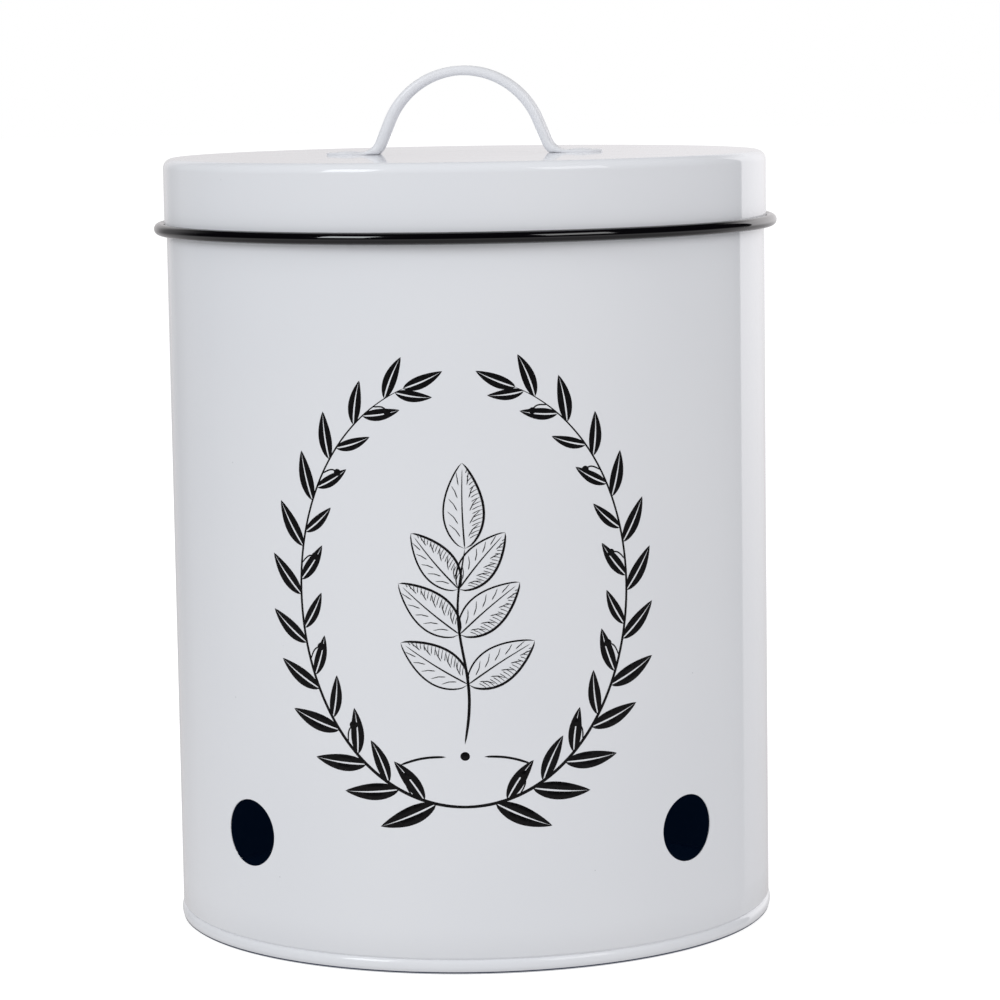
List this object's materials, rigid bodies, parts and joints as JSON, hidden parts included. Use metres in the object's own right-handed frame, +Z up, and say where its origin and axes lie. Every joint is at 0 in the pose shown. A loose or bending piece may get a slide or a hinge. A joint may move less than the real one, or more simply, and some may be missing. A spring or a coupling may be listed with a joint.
{
  "type": "potato storage bin",
  "caption": "Round enamelled steel storage bin with a lift-off slip lid, an arched strap handle, a dark rolled rim trim and round air vents low in the wall.",
  "frame": {"origin": "centre of the ring that the bin stands on, at floor level", "axes": "+Z up along the axis of the bin, -Y the decorated front, +X to the right of the front; the lock seam is on +Y; the handle runs along X but for the 3.5 degrees that the loose lid sits turned"},
  "size_m": [0.2084, 0.2084, 0.2854],
  "materials": {
    "white_enamel": "glossy cool white stoving enamel on sheet steel, dark lacquer inside",
    "black_enamel": "high-gloss black enamel on rolled sheet steel"
  },
  "bodies": {
    "bin": {"body_shell": "white_enamel", "base_plate": "white_enamel"},
    "lid": {"lid_shell": "white_enamel", "lid_rim_trim": "black_enamel", "handle_strap": "white_enamel", "handle_rivet_left": "white_enamel", "handle_rivet_right": "white_enamel"}
  },
  "joints": [
    {"name": "lid_lift", "type": "slide", "parent": "bin", "child": "lid", "axis": [0, 0, 1], "range_m": [0, 0.15]}
  ]
}
